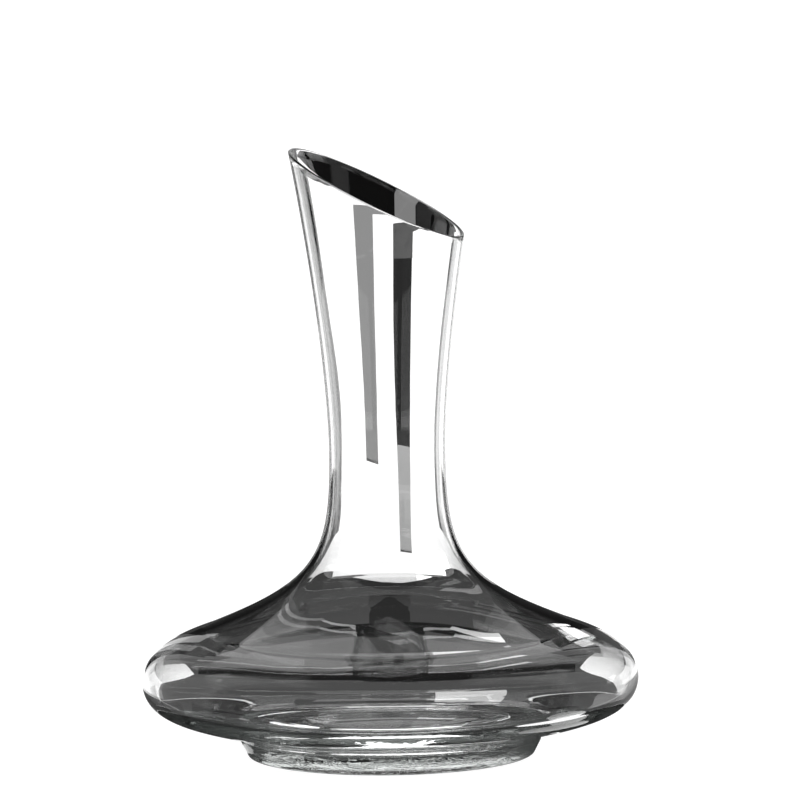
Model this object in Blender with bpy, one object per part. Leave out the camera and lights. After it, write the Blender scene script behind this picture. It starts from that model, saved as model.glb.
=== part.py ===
"""A wine decanter in clear crystal: a wide, flat bowl on a thick foot, and a slender neck cut off at a slant.

Metres, +Z up. The origin is the centre of the foot, on the table. The mouth slants in the XZ plane: its high
pouring side faces -X and its low side faces +X. Each gather of glass that the glassmaker joins hot is one
object: foot ring, punt floor, bowl, shoulder, neck and lip bead. They are rings turned round Z, and a fused
seam between two of them is kept open by SEAM so that they stay separate solids.
"""

import math

import bmesh
import bpy
from mathutils import Matrix, Vector
from mathutils.geometry import interpolate_bezier

# Driving dimensions
BOWL_R = 0.105
BOWL_WIDEST_Z = 0.0325
FOOT_R = 0.0605
FOOT_TOP_R = 0.065
FOOT_H = 0.009
NECK_R = 0.02455
NECK_Z = 0.128
MOUTH_R = 0.0412
MOUTH_FLARE_Z = 0.262
MOUTH_SLANT = math.radians(26.75)
MOUTH_MID_Z = 0.2350
LIP_R = 0.0008
SEAM = 0.0003

# How the outside curve leaves each of its knots
UNDERSIDE_SLOPE = math.radians(25)
UNDERSIDE_REACH = 0.0172
BOWL_REACH_DOWN = 0.0181
BOWL_REACH_UP = 0.0141
SHOULDER_R = 0.0788
SHOULDER_Z = 0.0542
SHOULDER_SLOPE = math.radians(22.1)
SHOULDER_REACH_DOWN = 0.006
SHOULDER_REACH_UP = 0.0511
NECK_REACH_DOWN = 0.0446
NECK_REACH_UP = 0.0364
MOUTH_FLARE = math.radians(11.5)
MOUTH_REACH = 0.0345

# Wall thickness at each knot of the outside curve
WALL_AT_FOOT = 0.0052
WALL_AT_WIDEST = 0.0026
WALL_AT_SHOULDER = 0.0032
WALL_AT_NECK = 0.0017
WALL_AT_MOUTH = 0.0014

# Foot and punt
PUNT_R = 0.047
PUNT_EDGE_Z = 0.0034
PUNT_TOP_Z = 0.0078
FLOOR_VALLEY_Z = 0.0122
FLOOR_TOP_Z = 0.0166
REST_INNER_R = 0.050
FOOT_ROUNDING = 0.0014

SHOULDER_JOINT_Z = 0.078

SEGMENTS = 48
POINTS_UNDERSIDE = 8
POINTS_BOWL_TOP = 8
POINTS_SHOULDER = 17
POINTS_NECK = 10
POINTS_FLOOR = 7

GLASS = (0.94, 0.95, 0.95)
GLASS_THICK = (0.90, 0.92, 0.92)


def point(radius, height):
    return Vector((radius, 0.0, height))


def crystal(name, colour):
    material = bpy.data.materials.new(name)
    material.use_nodes = True
    surface = material.node_tree.nodes["Principled BSDF"]
    surface.inputs["Base Color"].default_value = (*colour, 1.0)
    surface.inputs["Roughness"].default_value = 0.0
    surface.inputs["Metallic"].default_value = 0.0
    surface.inputs["IOR"].default_value = 1.54
    surface.inputs["Transmission Weight"].default_value = 1.0
    return material


def outside_curve():
    """The outer wall from the foot to above the mouth, as points with the wall's thickness at each."""
    foot = point(FOOT_TOP_R, FOOT_H)
    widest = point(BOWL_R, BOWL_WIDEST_Z)
    shoulder = point(SHOULDER_R, SHOULDER_Z)
    neck = point(NECK_R, NECK_Z)
    mouth = point(MOUTH_R, MOUTH_FLARE_Z)
    outwards = point(math.cos(UNDERSIDE_SLOPE), math.sin(UNDERSIDE_SLOPE))
    inwards = point(-math.cos(SHOULDER_SLOPE), math.sin(SHOULDER_SLOPE))
    flaring = point(math.sin(MOUTH_FLARE), math.cos(MOUTH_FLARE))
    up = point(0, 1)
    runs = (
        (foot, foot + outwards * UNDERSIDE_REACH, widest - up * BOWL_REACH_DOWN, widest,
         POINTS_UNDERSIDE, WALL_AT_FOOT, WALL_AT_WIDEST),
        (widest, widest + up * BOWL_REACH_UP, shoulder - inwards * SHOULDER_REACH_DOWN, shoulder,
         POINTS_BOWL_TOP, WALL_AT_WIDEST, WALL_AT_SHOULDER),
        (shoulder, shoulder + inwards * SHOULDER_REACH_UP, neck - up * NECK_REACH_DOWN, neck,
         POINTS_SHOULDER, WALL_AT_SHOULDER, WALL_AT_NECK),
        (neck, neck + up * NECK_REACH_UP, mouth - flaring * MOUTH_REACH, mouth,
         POINTS_NECK, WALL_AT_NECK, WALL_AT_MOUTH),
    )
    curve = []
    for start, leave, arrive, end, count, wall_start, wall_end in runs:
        for i, p in enumerate(interpolate_bezier(start, leave, arrive, end, count)):
            if i == 0 and curve:
                continue
            share = i / (count - 1)
            curve.append((p, wall_start + (wall_end - wall_start) * share))
    return curve


def inside_curve(outside):
    """The inner wall: every point of the outer wall moved inwards by the thickness there."""
    inside = []
    for i, (p, wall) in enumerate(outside):
        before = outside[max(i - 1, 0)][0]
        after = outside[min(i + 1, len(outside) - 1)][0]
        along = (after - before).normalized()
        inside.append(p + point(-along.z, along.x) * wall)
    return inside


def between(curve, low, high):
    """The stretch of a curve from one height to another, with its ends worked out on those heights."""
    def at(height):
        for a, b in zip(curve, curve[1:]):
            if a.z <= height <= b.z:
                return a.lerp(b, (height - a.z) / (b.z - a.z))
        raise ValueError(height)
    least_step = 0.0005
    middle = [p for p in curve if low + least_step < p.z < high - least_step]
    return [at(low), *middle, at(high)]


def turned(name, section, material):
    """A solid of one closed section, given anticlockwise with +X right and +Z up, turned round Z."""
    shape = bmesh.new()
    corners = [shape.verts.new(p) for p in section]
    edges = []
    for a, b in zip(corners, corners[1:] + corners[:1]):
        on_axis = abs(a.co.x) < 1e-9 and abs(b.co.x) < 1e-9
        if not on_axis:
            edges.append(shape.edges.new((a, b)))
    bmesh.ops.spin(shape, geom=[*corners, *edges], cent=(0, 0, 0), axis=(0, 0, 1),
                   angle=2 * math.pi, steps=SEGMENTS, use_merge=True)
    bmesh.ops.remove_doubles(shape, verts=shape.verts, dist=1e-6)
    bmesh.ops.recalc_face_normals(shape, faces=shape.faces)
    return finished(name, shape, material)


def finished(name, shape, material):
    mesh = bpy.data.meshes.new(name)
    shape.to_mesh(mesh)
    shape.free()
    mesh.shade_smooth()
    mesh.set_sharp_from_angle(angle=math.radians(40))
    mesh.materials.append(material)
    made = bpy.data.objects.new(name, mesh)
    bpy.context.scene.collection.objects.link(made)
    return made


def foot_ring(material):
    """The thick applied foot. It stands on the flat ring between REST_INNER_R and the rounded outer edge."""
    rounding = interpolate_bezier(
        point(FOOT_R - FOOT_ROUNDING, 0), point(FOOT_R - FOOT_ROUNDING / 3, 0),
        point(FOOT_R + FOOT_ROUNDING / 6, FOOT_ROUNDING / 3), point(FOOT_R + FOOT_ROUNDING / 2, FOOT_ROUNDING), 5)
    section = [point(PUNT_R, PUNT_EDGE_Z), point(REST_INNER_R, 0), *rounding,
               point(FOOT_TOP_R, FOOT_H - SEAM), point(PUNT_R, FOOT_H - SEAM)]
    return turned("foot_ring", section, material)


def floor_curve():
    """The top of the floor, from the middle of its dome out to the valley round it."""
    return interpolate_bezier(
        point(0, FLOOR_TOP_Z), point(PUNT_R * 0.4, FLOOR_TOP_Z),
        point(PUNT_R * 0.7, FLOOR_VALLEY_Z), point(PUNT_R, FLOOR_VALLEY_Z), POINTS_FLOOR)


def punt_floor(material):
    """The solid middle of the base, domed above and hollowed below where the pontil rod held it."""
    edge = PUNT_R - SEAM
    punt = interpolate_bezier(
        point(0, PUNT_TOP_Z), point(edge * 0.5, PUNT_TOP_Z),
        point(edge * 0.85, PUNT_EDGE_Z + 0.0012), point(edge, PUNT_EDGE_Z), POINTS_FLOOR)
    top = floor_curve()[:-1]
    section = [*punt, point(edge, FLOOR_VALLEY_Z), *reversed(top)]
    return turned("punt_floor", section, material)


def bowl(outside, inside, material):
    """The wide lower half, from its seat on the foot up to the widest line."""
    outer = between([p for p, _ in outside], FOOT_H, BOWL_WIDEST_Z)
    low = inside[0].z
    inner = between(inside, low, BOWL_WIDEST_Z)
    valley = interpolate_bezier(
        point(PUNT_R, FLOOR_VALLEY_Z), point(PUNT_R + 0.006, FLOOR_VALLEY_Z),
        inner[0] - (inner[1] - inner[0]).normalized() * 0.006, inner[0], 5)
    section = [point(PUNT_R, FOOT_H), *outer, *reversed(inner), *reversed(valley[:-1])]
    return turned("bowl", section, material)


def shoulder(outside, inside, material):
    """The upper half of the bowl, from just above the widest line to where it turns up into the neck."""
    low = BOWL_WIDEST_Z + SEAM
    outer = between([p for p, _ in outside], low, SHOULDER_JOINT_Z)
    inner = between(inside, low, SHOULDER_JOINT_Z)
    return turned("shoulder", [*outer, *reversed(inner)], material)


def neck(outside, inside, material):
    """The drawn neck, turned past the mouth and then cut off along the slant."""
    low = SHOULDER_JOINT_Z + SEAM
    high = min(outside[-1][0].z, inside[-1].z)
    outer = between([p for p, _ in outside], low, high)
    inner = between(inside, low, high)
    made = turned("neck", [*outer, *reversed(inner)], material)
    shape = bmesh.new()
    shape.from_mesh(made.data)
    bmesh.ops.bisect_plane(shape, geom=[*shape.verts, *shape.edges, *shape.faces], dist=1e-6,
                           plane_co=(0, 0, MOUTH_MID_Z), plane_no=mouth_normal(), clear_outer=True)
    rims = [edge for edge in shape.edges if edge.is_boundary]
    bmesh.ops.bridge_loops(shape, edges=rims)
    bmesh.ops.recalc_face_normals(shape, faces=shape.faces)
    shape.to_mesh(made.data)
    shape.free()
    made.data.set_sharp_from_angle(angle=math.radians(40))
    return made


def mouth_normal():
    """The way the slanted mouth faces: up, and towards its low side at +X."""
    return Vector((math.sin(MOUTH_SLANT), 0, math.cos(MOUTH_SLANT)))


def lip_bead(outside, inside, material):
    """The fire-polished edge: a round bead that follows the slanted cut along the middle of the wall."""
    middle = [(p + q) / 2 for (p, _), q in zip(outside, inside)]

    def radius_at(height):
        for a, b in zip(middle, middle[1:]):
            if a.z <= height <= b.z:
                return a.lerp(b, (height - a.z) / (b.z - a.z)).x
        raise ValueError(height)

    lift = mouth_normal() * (LIP_R + SEAM)
    points = []
    for i in range(SEGMENTS):
        angle = 2 * math.pi * i / SEGMENTS
        height = MOUTH_MID_Z
        for _ in range(12):
            height = MOUTH_MID_Z - math.tan(MOUTH_SLANT) * radius_at(height) * math.cos(angle)
        points.append(Matrix.Rotation(angle, 3, "Z") @ point(radius_at(height), height) + lift)
    curve = bpy.data.curves.new("lip_bead", "CURVE")
    curve.dimensions = "3D"
    curve.bevel_depth = LIP_R
    curve.bevel_resolution = 2
    spline = curve.splines.new("POLY")
    spline.points.add(len(points) - 1)
    for target, p in zip(spline.points, points):
        target.co = (*p, 1)
    spline.use_cyclic_u = True
    curve.materials.append(material)
    made = bpy.data.objects.new("lip_bead", curve)
    bpy.context.scene.collection.objects.link(made)
    return made


def main():
    for old in list(bpy.data.objects):
        bpy.data.objects.remove(old)
    clear = crystal("clear_crystal", GLASS)
    thick = crystal("thick_crystal", GLASS_THICK)
    outside = outside_curve()
    inside = inside_curve(outside)
    foot_ring(thick)
    punt_floor(thick)
    bowl(outside, inside, clear)
    shoulder(outside, inside, clear)
    neck(outside, inside, clear)
    lip_bead(outside, inside, clear)


main()
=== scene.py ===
"""The looks of the wine decanter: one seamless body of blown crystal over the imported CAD, and its studio."""

import math

import bpy
import numpy as np
from mathutils import Matrix, Vector


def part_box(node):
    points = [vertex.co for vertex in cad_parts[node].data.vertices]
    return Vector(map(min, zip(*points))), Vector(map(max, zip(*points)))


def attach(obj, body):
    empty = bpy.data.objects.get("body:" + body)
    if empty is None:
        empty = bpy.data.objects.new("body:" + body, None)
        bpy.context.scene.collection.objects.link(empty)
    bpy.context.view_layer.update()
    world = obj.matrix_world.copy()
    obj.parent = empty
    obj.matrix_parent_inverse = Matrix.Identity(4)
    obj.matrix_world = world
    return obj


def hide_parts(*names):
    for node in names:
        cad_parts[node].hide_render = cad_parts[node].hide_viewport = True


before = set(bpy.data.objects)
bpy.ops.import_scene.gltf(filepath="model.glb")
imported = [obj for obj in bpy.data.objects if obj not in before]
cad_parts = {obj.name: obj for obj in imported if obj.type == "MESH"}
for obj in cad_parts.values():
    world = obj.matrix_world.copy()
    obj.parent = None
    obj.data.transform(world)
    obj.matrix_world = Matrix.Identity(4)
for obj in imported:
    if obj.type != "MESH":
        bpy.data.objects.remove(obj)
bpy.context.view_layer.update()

MM = 0.001

# Driving dimensions, from the frame
FOOT_TOP_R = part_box("foot_ring")[1].x
FOOT_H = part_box("bowl")[0].z
BOWL_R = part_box("bowl")[1].x
BOWL_WIDEST_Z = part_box("bowl")[1].z
TOP_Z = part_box("lip_bead")[1].z
HIGH_LIP_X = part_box("lip_bead")[0].x
PUNT_EDGE_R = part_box("punt_floor")[1].x
FLOOR_TOP_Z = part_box("punt_floor")[1].z

# The shape between them: points are (radius, height), and WALLS are thicknesses from the foot up to the lip
FOOT_R = 60.5 * MM
PUNT_EDGE_Z = 3.4 * MM
PUNT_TOP_Z = 7.8 * MM
REST_INNER_R = 50.0 * MM
FLOOR_RING_R = 49.5 * MM
FLOOR_RING_Z = 12.6 * MM
SHOULDER = (78.8 * MM, 54.2 * MM)
NECK = (24.55 * MM, 128.0 * MM)
MOUTH = (41.2 * MM, 262.0 * MM)
UNDERSIDE_SLOPE = math.radians(25)
SHOULDER_SLOPE = math.radians(22.1)
MOUTH_FLARE = math.radians(11.5)
MOUTH_SLANT = math.radians(26.75)
LIP_R = 0.8 * MM
WALLS = (5.2 * MM, 2.6 * MM, 3.2 * MM, 1.7 * MM, 1.4 * MM)

# The skin's points: round the axis, and along each stretch of the outline; the neck's rings turn to its slant
SEGMENTS = 232
UNDERSIDE_RINGS = 34
SHOULDER_RINGS = 28
ROOT_RINGS = 22
NECK_RINGS = 62
FLARE_RINGS = 60
ROOT = UNDERSIDE_RINGS + SHOULDER_RINGS + ROOT_RINGS

# The surface's relief: the swirls are drawn out round the foot, and the rest are shares of the bump's depth
SWIRL_STRETCH = 0.018
DIMPLE_SHARE = 0.25
FOOT_RELIEF = 0.7
WALL_RELIEF = 0.02
BUMP_DEPTH = 0.6 * MM

# The camera
CAMERA_TURN = math.radians(11.8)
CAMERA_TILT = math.radians(7)
CAMERA_ROLL = math.radians(-0.81)
CAMERA_DISTANCE = 3.0
CAMERA_BACK = CAMERA_DISTANCE * math.cos(CAMERA_TILT)
CAMERA_UP = 110 * MM + CAMERA_DISTANCE * math.sin(CAMERA_TILT)
AIM_ASIDE = 5.7 * MM
AIM_Z = 150.2 * MM
LENS = 320.1

# The studio: distances from the bowl's axis, the gap between cards laid over each other, strengths of light
TABLE_Z = -0.5 * MM
FLOOR_R = 8.0
VAULT_R = 9.0
SIDE_FLAG_R = 400 * MM
SIDE_FLAG_TOP = 300 * MM
COLLAR_R = 125 * MM
RAIL_R = 100 * MM
NECK_CARD_R = 100 * MM
BRIM_R = 86 * MM
FLAG_R = 60 * MM
LAYER = 0.5 * MM
DAYLIGHT = 1.15
WHITE = 1.0
SOFT_LIGHT = 0.7
CEILING = 0.06
BLACK = 0.0
GLINTS = 11
GLINT_SEED = 4
BOUNCES = 32


def vec(r, z):
    """A point or a direction of the section, outwards and up."""
    return np.array((r, z), float)


def bezier(start, leave, arrive, end, count):
    """The points of a cubic curve, from its two ends and their handles."""
    t = np.linspace(0, 1, count)[:, None]
    back = 1 - t
    return back ** 3 * start + 3 * back ** 2 * t * leave + 3 * back * t ** 2 * arrive + t ** 3 * end


def join(*runs):
    """Curves end to end, each without the point that it shares with the one before."""
    return np.concatenate([runs[0], *(run[1:] for run in runs[1:])])


def outside_and_walls():
    """The outline from the foot to above the mouth, and the thickness of the wall at each of its points."""
    foot, widest = vec(FOOT_TOP_R, FOOT_H), vec(BOWL_R, BOWL_WIDEST_Z)
    shoulder, neck, mouth = vec(*SHOULDER), vec(*NECK), vec(*MOUTH)
    outwards = vec(math.cos(UNDERSIDE_SLOPE), math.sin(UNDERSIDE_SLOPE))
    inwards = vec(-math.cos(SHOULDER_SLOPE), math.sin(SHOULDER_SLOPE))
    flaring = vec(math.sin(MOUTH_FLARE), math.cos(MOUTH_FLARE))
    up = vec(0, 1)
    runs = (
        bezier(foot, foot + outwards * 17.2 * MM, widest - up * 18.1 * MM, widest, UNDERSIDE_RINGS),
        bezier(widest, widest + up * 14.1 * MM, shoulder - inwards * 6 * MM, shoulder, SHOULDER_RINGS),
        bezier(shoulder, shoulder + inwards * 51.1 * MM, neck - up * 44.6 * MM, neck,
               ROOT_RINGS + NECK_RINGS),
        bezier(neck, neck + up * 36.4 * MM, mouth - flaring * 34.5 * MM, mouth, FLARE_RINGS),
    )
    walls = []
    for run, start, end in zip(runs, WALLS, WALLS[1:]):
        share = np.linspace(0, 1, len(run))
        walls.append((start + (end - start) * share * share * (3 - 2 * share))[:, None])
    return join(*runs), join(*walls)[:, 0]


def offset_inwards(curve, walls):
    """The inner side of the wall."""
    along = np.gradient(curve, axis=0)
    along /= np.linalg.norm(along, axis=1)[:, None]
    return curve + np.stack((-along[:, 1], along[:, 0]), 1) * walls[:, None]


def foot_and_punt(outside):
    """The underside's section, from the middle of the punt to the crease where the foot meets the bowl."""
    punt = bezier(vec(0, PUNT_TOP_Z), vec(24 * MM, PUNT_TOP_Z), vec(40 * MM, PUNT_EDGE_Z + 1.2 * MM),
                  vec(PUNT_EDGE_R, PUNT_EDGE_Z), 22)
    rest = bezier(vec(PUNT_EDGE_R, PUNT_EDGE_Z), vec(PUNT_EDGE_R + 1.5 * MM, PUNT_EDGE_Z - 1.2 * MM),
                  vec(REST_INNER_R - 1 * MM, 0), vec(REST_INNER_R + 0.6 * MM, 0), 10)
    flat = np.linspace(vec(REST_INNER_R + 0.6 * MM, 0), vec(FOOT_R - 1.6 * MM, 0), 4)
    edge = bezier(vec(FOOT_R - 1.6 * MM, 0), vec(FOOT_R - 0.2 * MM, 0), vec(FOOT_R + 0.1 * MM, 0.3 * MM),
                  vec(FOOT_R + 0.6 * MM, 1.4 * MM), 8)
    side_end = vec(FOOT_TOP_R - 0.5 * MM, FOOT_H - 1.0 * MM)
    side = np.linspace(edge[-1], side_end, 8)
    crease = bezier(side_end, vec(FOOT_TOP_R, FOOT_H - 0.2 * MM), outside[0], outside[2], 8)
    return join(punt, rest, flat, edge, side, crease)


def floor_inside(inside):
    """The section of the floor inside, from the bowl's wall over the ring where it turns, to the middle."""
    ring = vec(FLOOR_RING_R, FLOOR_RING_Z)
    return join(
        bezier(inside[0], inside[0] + (inside[0] - inside[1]) * 3, ring + vec(5 * MM, 0.3 * MM), ring, 16),
        bezier(ring, ring + vec(-1.5 * MM, 0.9 * MM), vec(FLOOR_RING_R * 0.45, FLOOR_TOP_Z),
               vec(0, FLOOR_TOP_Z), 26))


def waves(points, seed, shortest, longest, count=28):
    """Smooth noise from -1 to 1 at each point: seeded plane waves, with lengths between two limits."""
    rng = np.random.default_rng(seed)
    directions = rng.normal(size=(count, 3))
    directions /= np.linalg.norm(directions, axis=1)[:, None]
    lengths = np.exp(rng.uniform(math.log(shortest), math.log(longest), count))
    phases = rng.uniform(0, 2 * math.pi, count)
    total = np.zeros(points.shape[:-1])
    for direction, length, phase in zip(directions, lengths, phases):
        total += np.sin(points @ direction * (2 * math.pi / length) + phase)
    return np.clip(total / math.sqrt(count), -2, 2) / 2


def pull_ridges(points, seed):
    """Faint lengthwise ridges from -1 to 1, as the pull of the glass leaves them, drifting with height."""
    rng = np.random.default_rng(seed)
    angle = np.arctan2(points[..., 1], points[..., 0])
    total = np.zeros(points.shape[:-1])
    for ridges in range(5, 42):
        phase, drift = rng.uniform(0, 2 * math.pi), rng.normal(0, 4)
        total += np.cos(ridges * angle + phase + drift * points[..., 2]) / math.sqrt(ridges)
    return np.clip(total / 2, -1, 1)


def smoothstep(x, start, end):
    share = np.clip((x - start) / (end - start), 0, 1)
    return share * share * (3 - 2 * share)


def blown(rings):
    """The glass as hands and moulds leave it: never quite even, and never outside its true surface."""
    along = np.gradient(rings, axis=0)
    around = np.roll(rings, -1, 1) - np.roll(rings, 1, 1)
    outwards = np.cross(around, along)
    outwards /= np.maximum(np.linalg.norm(outwards, axis=2), 1e-12)[..., None]
    height = rings[..., 2]
    slow = 0.03 * MM * (1 + waves(rings, 3, 40 * MM, 120 * MM)) * smoothstep(height, 0.5 * MM, 10 * MM)
    ridged = 0.006 * MM * (1 + pull_ridges(rings, 11)) * smoothstep(height, 105 * MM, 150 * MM)
    on_base = (1 - smoothstep(height, 10 * MM, 16 * MM)) * smoothstep(height, 0.1 * MM, 1.2 * MM)
    pressed = 0.02 * MM * (1 + waves(rings, 5, 5 * MM, 14 * MM)) * on_base
    return rings - outwards * (slow + ridged + pressed)[..., None]


def cut_height(curve, turn):
    """For each direction, the height at which the turned curve meets the slanted plane of the mouth."""
    slope = math.tan(MOUTH_SLANT)
    middle = TOP_Z - LIP_R - 0.5 * MM + slope * (HIGH_LIP_X + LIP_R)
    height = np.full(len(turn), middle)
    for _ in range(30):
        height = middle - slope * np.interp(height, curve[:, 1], curve[:, 0]) * turn[:, 0]
    return height


def glass_rings():
    """All rings of the glass: the punt, out under the foot, up the outside, over the lip and down inside."""
    outside, walls = outside_and_walls()
    inside = offset_inwards(outside, walls)
    angles = np.linspace(0, 2 * math.pi, SEGMENTS, endpoint=False)
    turn = np.stack((np.cos(angles), np.sin(angles)), 1)

    def ring(r, z):
        return np.concatenate((turn * np.broadcast_to(r, SEGMENTS)[:, None],
                               np.broadcast_to(z, SEGMENTS)[:, None]), 1)

    def neck_rings(curve):
        """Rings from the root of the neck to its slanted end."""
        top = cut_height(curve, turn)
        heights = [curve[0, 1] + (top - curve[0, 1]) * share for share in np.linspace(0, 1, NECK_RINGS)]
        return [ring(np.interp(z, curve[:, 1], curve[:, 0]), z) for z in heights]

    outer, inner = neck_rings(outside[ROOT:]), neck_rings(inside[ROOT:])
    middle, half = (outer[-1] + inner[-1]) / 2, (outer[-1] - inner[-1]) / 2
    up = np.array((math.sin(MOUTH_SLANT), 0, math.cos(MOUTH_SLANT))) * np.linalg.norm(half, axis=1)[:, None]
    lip = [middle + half * math.cos(a) + up * math.sin(a) for a in np.linspace(0, math.pi, 10)[1:-1]]
    rings = [ring(r, z) for r, z in foot_and_punt(outside)[1:]]
    rings += [ring(r, z) for r, z in outside[3:ROOT]]
    rings += outer + lip + inner[::-1]
    rings += [ring(r, z) for r, z in inside[:ROOT][::-1]]
    rings += [ring(r, z) for r, z in floor_inside(inside)[1:-1]]
    return blown(np.array(rings))


def glass_body(material):
    """One closed skin over all the rings, with a point in the middle of the punt and of the floor."""
    rings = glass_rings()
    count = len(rings)
    points = [*rings.reshape(-1, 3).tolist(), (0, 0, PUNT_TOP_Z), (0, 0, rings[-1, :, 2].mean())]
    around = [(j, (j + 1) % SEGMENTS) for j in range(SEGMENTS)]
    faces = [(i * SEGMENTS + j, i * SEGMENTS + k, (i + 1) * SEGMENTS + k, (i + 1) * SEGMENTS + j)
             for i in range(count - 1) for j, k in around]
    last = (count - 1) * SEGMENTS
    faces += [(count * SEGMENTS, k, j) for j, k in around]
    faces += [(last + j, last + k, count * SEGMENTS + 1) for j, k in around]
    mesh = bpy.data.meshes.new("decanter_glass")
    mesh.from_pydata(points, [], faces)
    mesh.validate()
    mesh.shade_smooth()
    mesh.materials.append(material)
    made = bpy.data.objects.new("decanter_glass", mesh)
    bpy.context.scene.collection.objects.link(made)
    return made


def node(tree, kind, links=(), **settings):
    """A shader node with its settings; `links` holds, by input, a value or the socket that feeds it."""
    made = tree.nodes.new(kind)
    for name, value in settings.items():
        setattr(made, name, value)
    for key, value in dict(links).items():
        if isinstance(value, bpy.types.NodeSocket):
            tree.links.new(value, made.inputs[key])
        else:
            made.inputs[key].default_value = value
    return made


def calculate(tree, operation, first, second=0.0):
    return node(tree, "ShaderNodeMath", {0: first, 1: second}, operation=operation).outputs[0]


def noise(tree, place, **settings):
    return node(tree, "ShaderNodeTexNoise", {"Vector": place, **settings}).outputs["Fac"]


def crystal():
    """Clear crystal: grey-green in its depth, with almost even walls and a swirled, pressed foot."""
    material = bpy.data.materials.new("crystal")
    material.use_nodes = True
    tree = material.node_tree
    shader = tree.nodes["Principled BSDF"]
    shader.inputs["Base Color"].default_value = (1, 1, 1, 1)
    shader.inputs["Roughness"].default_value = 0.0
    shader.inputs["IOR"].default_value = 1.53
    shader.inputs["Transmission Weight"].default_value = 1.0
    absorb = node(tree, "ShaderNodeVolumeAbsorption", {"Color": (0.80, 0.84, 0.82, 1), "Density": 8.0})
    tree.links.new(absorb.outputs[0], tree.nodes["Material Output"].inputs["Volume"])

    place = node(tree, "ShaderNodeTexCoord").outputs["Object"]
    x, y, z = node(tree, "ShaderNodeSeparateXYZ", {0: place}).outputs
    radius = calculate(tree, "SQRT", calculate(tree, "ADD", calculate(tree, "MULTIPLY", x, x),
                                               calculate(tree, "MULTIPLY", y, y)))
    turn = calculate(tree, "MULTIPLY", calculate(tree, "ARCTAN2", y, x), SWIRL_STRETCH)
    swirled = node(tree, "ShaderNodeCombineXYZ", {0: turn, 1: radius, 2: z}).outputs[0]
    swirls = noise(tree, swirled, Scale=220.0, Detail=3.0, Roughness=0.6, Distortion=0.8)
    dimples = noise(tree, place, Scale=120.0, Detail=3.0)
    unevenness = noise(tree, place, Scale=14.0, Detail=2.0)
    fade = {"Value": z, "From Min": FOOT_H - 0.2 * MM, "From Max": FOOT_H + 3 * MM,
            "To Min": 1.0, "To Max": 0.0}
    on_foot = node(tree, "ShaderNodeMapRange", fade, interpolation_type="SMOOTHSTEP")
    pressed = calculate(tree, "MULTIPLY_ADD", dimples, DIMPLE_SHARE)
    tree.links.new(swirls, pressed.node.inputs[2])
    pressed = calculate(tree, "MULTIPLY", pressed, on_foot.outputs[0])
    height = calculate(tree, "MULTIPLY_ADD", pressed, FOOT_RELIEF)
    tree.links.new(calculate(tree, "MULTIPLY", unevenness, WALL_RELIEF), height.node.inputs[2])
    bump = node(tree, "ShaderNodeBump", {"Strength": 1.0, "Distance": BUMP_DEPTH, "Height": height})
    tree.links.new(bump.outputs[0], shader.inputs["Normal"])
    return material


def emission(name, grey):
    material = bpy.data.materials.new(name)
    material.use_nodes = True
    tree = material.node_tree
    tree.nodes.remove(tree.nodes["Principled BSDF"])
    light = node(tree, "ShaderNodeEmission", {"Color": (1, 1, 1, 1), "Strength": grey})
    tree.links.new(light.outputs[0], tree.nodes["Material Output"].inputs["Surface"])
    material.cycles.emission_sampling = "NONE"
    return material


def spot(azimuth, radius, height):
    """A point of the studio. Azimuths are degrees from straight behind the glass, to the camera's right."""
    angle = CAMERA_TURN + math.pi / 2 - math.radians(azimuth)
    return radius * math.cos(angle), radius * math.sin(angle), height


def card(name, rows, grey):
    """A card that only the glass sees, from rows of points."""
    rows = np.array(rows, float)
    count, across = rows.shape[:2]
    faces = [(i * across + j, i * across + j + 1, (i + 1) * across + j + 1, (i + 1) * across + j)
             for i in range(count - 1) for j in range(across - 1)]
    mesh = bpy.data.meshes.new(name)
    mesh.from_pydata(rows.reshape(-1, 3).tolist(), [], faces)
    mesh.materials.append(emission(name, grey))
    made = bpy.data.objects.new(name, mesh)
    bpy.context.scene.collection.objects.link(made)
    made.visible_camera = False
    made.visible_diffuse = False
    made.visible_shadow = False


def steps(start, end, size=2.0):
    """Even steps from one azimuth to another, none larger than the size in degrees."""
    return np.linspace(start, end, max(2, math.ceil(abs(end - start) / size) + 1))


def at(value, azimuth):
    """An edge's value at an azimuth, whether the edge is a number or a function."""
    return value(azimuth) if callable(value) else value


def screen(name, start, end, low, high, grey, radius=COLLAR_R):
    """An upright curved card between two azimuths; its edges are heights or functions of the azimuth."""
    rows = [[spot(a, radius, at(edge, a)) for a in steps(start, end)] for edge in (low, high)]
    card(name, rows, grey)


def tongue(name, heights, starts, ends, grey):
    """An upright curved card on the collar's line whose ends move with its height."""
    card(name, [[spot(a, COLLAR_R, z) for a in np.linspace(start, end, 24)]
                for z, start, end in zip(heights, starts, ends)], grey)


def on_table(name, start, end, near, far, grey, lift=0.3 * MM, tapered=False):
    """A flat card on the table between two azimuths and two distances, pointed at its ends if tapered."""
    azimuths = steps(start, end, 3.0)
    width = np.ones(len(azimuths))
    if tapered:
        width = np.sqrt(np.sin(np.linspace(0, math.pi, len(azimuths))).clip(0))
    middle, half = (near + far) / 2, (far - near) / 2
    card(name, [[spot(a, middle + side * half * w, TABLE_Z + lift) for a, w in zip(azimuths, width)]
                for side in (-1, 1)], grey)


def overhead(name, start, end, low, high, grey, radius=VAULT_R):
    """A part of the studio's vault between two azimuths and two elevations, in degrees."""
    rows = []
    for share in np.linspace(0, 1, 12):
        row = []
        for azimuth in steps(start, end, 3.0):
            elevation = math.radians(at(low, azimuth) + (at(high, azimuth) - at(low, azimuth)) * share)
            row.append(spot(azimuth, radius * math.cos(elevation), radius * math.sin(elevation)))
        rows.append(row)
    card(name, rows, grey)


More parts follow.
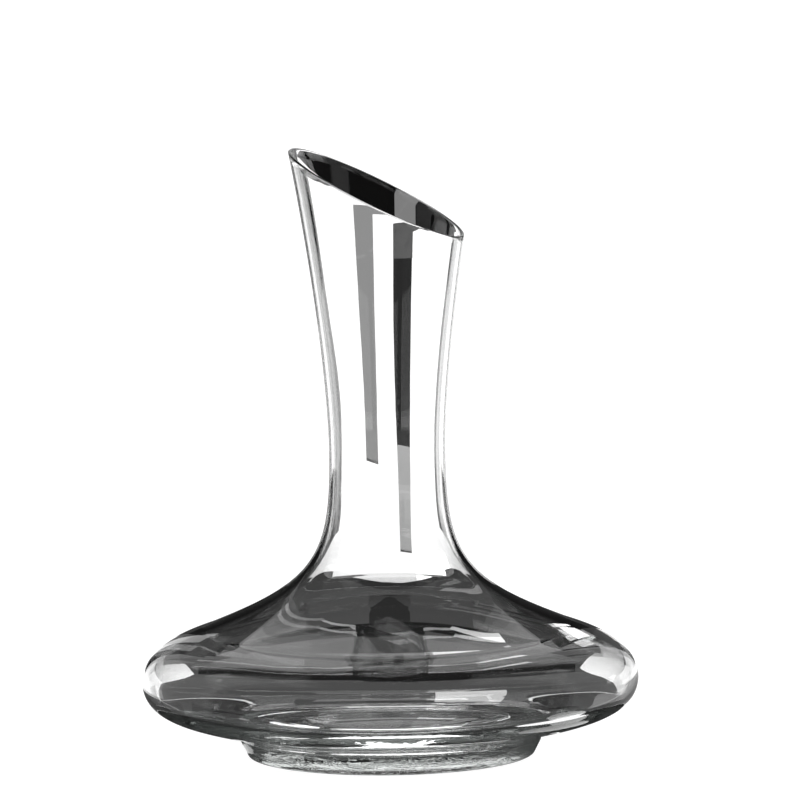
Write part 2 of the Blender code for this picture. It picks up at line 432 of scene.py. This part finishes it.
def behind_neck(name, left, right, grey):
    """A flat upright card behind the neck, from points (aside, up) in mm down its left and right edges."""
    def place(across, up):
        x, y, _ = spot(0, NECK_CARD_R, 0)
        aside = spot(90, across * MM, 0)
        return x + aside[0], y + aside[1], up * MM

    card(name, [[place(*from_left), place(*to_right)] for from_left, to_right in zip(left, right)], grey)


def mouth_flag(name, left, right, grey, distance=FLAG_R):
    """A card close behind the neck, between two limits aside, cut along the mouth as the camera sees it."""
    outside, _ = outside_and_walls()
    angles = np.radians(np.arange(0, 360, 4))
    height = cut_height(outside[ROOT:], np.stack((np.cos(angles), np.sin(angles)), 1)) + LIP_R
    radius = np.interp(height, outside[ROOT:, 1], outside[ROOT:, 0]) - LIP_R
    back, aside = np.array(spot(0, 1, 0)), np.array(spot(90, 1, 0))
    near, far = [], []
    for angle, r, z in zip(angles, radius, height):
        point = np.array((r * math.cos(angle), r * math.sin(angle), z))
        reach = (CAMERA_BACK + distance) / (CAMERA_BACK + point @ back)
        across, up = point @ aside * reach, CAMERA_UP + (z - CAMERA_UP) * reach
        (near if point @ back < 0 else far).append((across, up))
    near.sort()
    far.sort()
    across = np.linspace(max(near[0][0], left), min(near[-1][0], right), 40)
    low = np.interp(across, *zip(*near)) - 1.2 * MM
    high = np.interp(across, *zip(*far)) + 10 * MM
    card(name, [[(*(back * distance + aside * a)[:2], z) for a, z in zip(across, edge)]
                for edge in (low, high)], grey)


def brim_top(azimuth):
    """The upper edge of the dark brim, lowest straight behind the bowl: it draws the line under the neck."""
    return min((55.3 + 0.014 * (azimuth - 1) ** 2) * MM, 60 * MM)


def arch_top(azimuth):
    """The rounded top of the dark column in the middle of the bowl."""
    return (51.5 - 0.38 * azimuth ** 2) * MM


def wing_top(azimuth):
    """The upper edge of the dark wings, which rise to either side of the brim."""
    return np.interp(abs(azimuth), (14, 18, 22, 26, 30, 34, 50), (53, 57, 60, 66, 80, 100, 112)) * MM


def glow_edge(azimuth):
    """The elevation of the upper edge of the soft light behind the glass."""
    return np.interp(azimuth, (-27, -18, -10, 0, 8, 14, 23), (40, 52, 62, 66, 62, 52, 40))


def ring_edge(azimuth):
    """The elevation of the lower edge of the bright ring that draws the line round the middle of the bowl."""
    return np.interp(azimuth, (-23, -15, 0, 13, 17), (51, 57, 56, 56, 51))


def fold_line(azimuth):
    """The height of the black line between the two lobes of the bowl."""
    return np.interp(azimuth, (-45, -16, 0, 43), (33.5, 31.8, 30.6, 31)) * MM


def surroundings():
    """The white table, the vault with its horizon and dim ceiling, and the soft light behind the glass."""
    on_table("dark_plate", -180, 180, 0, COLLAR_R, 0.02, lift=0)
    on_table("white_table", -180, 180, COLLAR_R, VAULT_R, 1.3, lift=0)
    on_table("front_rug", 130, 230, 0.25, 2.4, 0.25)
    overhead("horizon", -100, 100, 0, 10, WHITE)
    overhead("front_horizon", 100, 260, 0, 10, 0.5)
    overhead("ceiling_left", -180, -27, 10, 90, CEILING)
    overhead("ceiling_right", 23, 180, 10, 90, CEILING)
    sectors = ((-27, -22, 0.3), (-22, -18, 0.55), (-18, 15, 1), (15, 19, 0.7), (19, 23, 0.4))
    for index, (start, end, share) in enumerate(sectors):
        overhead(f"glow_{index}", start, end, 10, glow_edge, CEILING + (SOFT_LIGHT - CEILING) * share)
        overhead(f"ceiling_{index}", start, end, glow_edge, 90, CEILING)
    overhead("ring_left", -24.4, -23.2, 30, 52, 1.3, VAULT_R - 0.1)
    overhead("ring_top", -23, 17, ring_edge, lambda a: ring_edge(a) + 1.4, 3.0, VAULT_R - 0.1)
    overhead("ring_right", 17, 18.4, 40, 52, 5.0, VAULT_R - 0.1)


def collar():
    """The dark cards round the bowl: most of its body is their grey, and their edges draw its lines."""
    tongue("collar_foot", (0, 12 * MM, 20 * MM, 26.5 * MM), (-60, -59, -57, -47), (55, 53, 49, 44), 0.075)
    heights = (26.5 * MM, 30 * MM, 36 * MM, 42 * MM)
    tongue("collar_left", heights, (-47, -44, -46, -49), (-5.5,) * 4, 0.085)
    tongue("collar_right", heights, (5.5,) * 4, (44, 42, 44, 47), 0.07)
    screen("collar_middle", -5.5, 5.5, 26.5 * MM, lambda a: (42 - 0.16 * a ** 2) * MM, 0.02)
    for part, start, end, grey in (("left", -22, 0, 0.07), ("right", 0, 22, 0.06)):
        screen(f"rail_{part}", start, end, 36 * MM, 51.5 * MM, grey, RAIL_R)
        screen(f"brim_{part}", start, end, 52 * MM, brim_top, grey, BRIM_R)
    screen("rail_arch", -5.5, 5.5, 36 * MM, arch_top, 0.02, RAIL_R - 0.3 * MM)
    screen("brim_edge", -16, 16, lambda a: brim_top(a) - 1.4 * MM, brim_top, 0.003, BRIM_R - 0.3 * MM)
    screen("fold_shade", -43, 41, lambda a: fold_line(a) - 3.4 * MM, lambda a: fold_line(a) + 2.6 * MM,
           BLACK, COLLAR_R - LAYER)
    for side, name in ((-1, "left"), (1, "right")):
        screen(f"wing_{name}", side * 14, side * 49, 42 * MM, lambda a: min(wing_top(a), 58 * MM), 0.05)
        screen(f"wing_tip_{name}", side * 22, side * 49, 58 * MM, lambda a: max(wing_top(a), 58.1 * MM),
               0.008)
    screen("front_collar", 125, 235, 0, 100 * MM, 0.06)
    screen("side_left", -125, -96, 0, 300 * MM, 0.3)
    screen("side_right", 96, 125, 0, 300 * MM, 0.3)
    screen("low_left", -96, -62, 0, 20 * MM, 0.12)
    screen("high_left", -66, -50, 84 * MM, 110 * MM, 0.08)
    screen("low_right", 66, 96, 0, 30 * MM, 0.35)
    screen("band_right", 48, 66, 52 * MM, 70 * MM, 0.08)


def lights():
    """The window, the light on the shoulder, and the bright cards that glint in the foot."""
    screen("window", 6.5, 16, 45.5 * MM, 64 * MM, 3.0, COLLAR_R + LAYER)
    screen("low_window", 9, 24, 2 * MM, 10 * MM, 0.8, COLLAR_R - LAYER)
    screen("shoulder_light", 46, 54, 74 * MM, 90 * MM, 3.0)
    on_table("back_strip", -14, 14, 70 * MM, 94 * MM, 1.0)
    on_table("front_strip", 142, 212, 44 * MM, 56 * MM, 2.6, tapered=True)
    on_table("left_scribble", -142, -98, 44 * MM, 56 * MM, 2.4, tapered=True)
    on_table("back_scribble", -68, -38, 31 * MM, 44 * MM, 1.4, tapered=True)
    on_table("left_spark", -102, -64, 62 * MM, 69 * MM, 1.0, tapered=True)
    on_table("right_spark", 100, 140, 84 * MM, 100 * MM, 1.4, tapered=True)
    on_table("side_glint", 110, 130, 95 * MM, 122 * MM, 2.2, tapered=True)
    rng = np.random.default_rng(GLINT_SEED)
    for index, distance in enumerate(np.linspace(26, 72, GLINTS)):
        middle, half_span = rng.uniform(-180, 180), rng.uniform(35, 90) / 2
        width, grey = rng.uniform(1.3, 2.4), rng.uniform(1.6, 3.4)
        on_table(f"glint_{index}", middle - half_span, middle + half_span,
                 distance * MM, (distance + width) * MM, grey, tapered=True)


def neck_cards():
    """The flags that draw the neck: its mouth, its two dark strips and its outlines."""
    mouth_flag("mouth_flag", -1, 1, BLACK)
    mouth_flag("mouth_pane", 4.8 * MM, 14 * MM, 0.22, FLAG_R - LAYER)
    behind_neck("right_strip", ((4.6, 250.3), (4.6, 171.2), (5.6, 119.8)),
                ((13.8, 250.3), (13.0, 171.2), (12.3, 118.5)), 0.001)
    behind_neck("right_strip_top", ((4.5, 250.3), (4.5, 201)), ((13.9, 250.3), (13.5, 201)), 0.12)
    behind_neck("right_strip_foot", ((5.6, 119.8), (6.2, 68.0)), ((12.3, 118.5), (12.2, 67.0)), 0.45)
    behind_neck("right_strip_end", ((6.2, 68.8), (6.2, 67.0)), ((12.2, 67.8), (12.2, 66.0)), 0.1)
    behind_neck("left_strip", ((-15.3, 250.3), (-10.9, 113)), ((-5.2, 250.3), (-4.4, 111)), 0.30)
    behind_neck("left_strip_end", ((-10.9, 114.3), (-10.9, 113)), ((-4.4, 112.3), (-4.4, 111)), 0.05)
    for name, start, end, low, grey, distance in (
            ("outline_left", -31, -23, 20 * MM, 0.01, SIDE_FLAG_R),
            ("outline_right", 23, 30, 20 * MM, 0.01, SIDE_FLAG_R),
            ("outline_front_left", -157, -149, 110 * MM, 0.01, SIDE_FLAG_R),
            ("outline_far_left", -67, -59, 110 * MM, 0.01, SIDE_FLAG_R),
            ("outline_far_right", 59, 67, 110 * MM, 0.01, SIDE_FLAG_R),
            ("outline_front_right", 149, 157, 110 * MM, 0.01, SIDE_FLAG_R),
            ("streak_left", -20, -9, 35 * MM, 0.16, SIDE_FLAG_R),
            ("streak_line", -13.8, -13.0, 35 * MM, BLACK, SIDE_FLAG_R - 2 * LAYER),
            ("streak_edge", -10.4, -9.6, 35 * MM, BLACK, SIDE_FLAG_R - 2 * LAYER),
            ("streak_right", 10, 11.6, 38 * MM, 0.01, SIDE_FLAG_R),
            ("streak_right_soft", 11.6, 17, 38 * MM, 0.6, SIDE_FLAG_R)):
        screen(name, start, end, low, SIDE_FLAG_TOP, grey, distance)


def studio():
    """A pale floor in soft white light, and the cards that only the glass sees."""
    world = bpy.data.worlds.new("studio")
    bpy.context.scene.world = world
    world.use_nodes = True
    world.node_tree.nodes["Background"].inputs["Color"].default_value = (1, 1, 1, 1)
    world.node_tree.nodes["Background"].inputs["Strength"].default_value = DAYLIGHT
    bpy.ops.mesh.primitive_circle_add(vertices=64, radius=FLOOR_R, fill_type="NGON")
    floor = bpy.context.object
    floor.name = "floor"
    pale = bpy.data.materials.new("floor")
    pale.use_nodes = True
    paint = pale.node_tree.nodes["Principled BSDF"]
    paint.inputs["Base Color"].default_value = (0.08, 0.08, 0.08, 1)
    paint.inputs["Roughness"].default_value = 0.8
    paint.inputs["Emission Color"].default_value = (1, 1, 1, 1)
    paint.inputs["Emission Strength"].default_value = 1.0
    floor.data.materials.append(pale)
    floor.location.z = TABLE_Z
    floor.visible_glossy = False
    floor.visible_transmission = False
    surroundings()
    collar()
    lights()
    neck_cards()


def camera():
    data = bpy.data.cameras.new("camera")
    data.lens = LENS
    data.sensor_width = 36
    data.clip_end = 50
    made = bpy.data.objects.new("camera", data)
    bpy.context.scene.collection.objects.link(made)
    turn = Matrix.Rotation(CAMERA_TURN, 3, "Z")
    made.location = turn @ Vector((0, -CAMERA_BACK, CAMERA_UP))
    aim = turn @ Vector((AIM_ASIDE, 0, AIM_Z))
    look = (aim - made.location).to_track_quat("-Z", "Y").to_matrix()
    made.rotation_euler = (look @ Matrix.Rotation(CAMERA_ROLL, 3, "Z")).to_euler()
    bpy.context.scene.camera = made


glass = glass_body(crystal())
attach(glass, "root")
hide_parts("foot_ring", "punt_floor", "bowl", "shoulder", "neck", "lip_bead")
studio()
camera()
bpy.context.scene.view_settings.view_transform = "Standard"
bpy.context.scene.cycles.max_bounces = BOUNCES
bpy.context.scene.cycles.transmission_bounces = BOUNCES
bpy.context.scene.cycles.glossy_bounces = BOUNCES
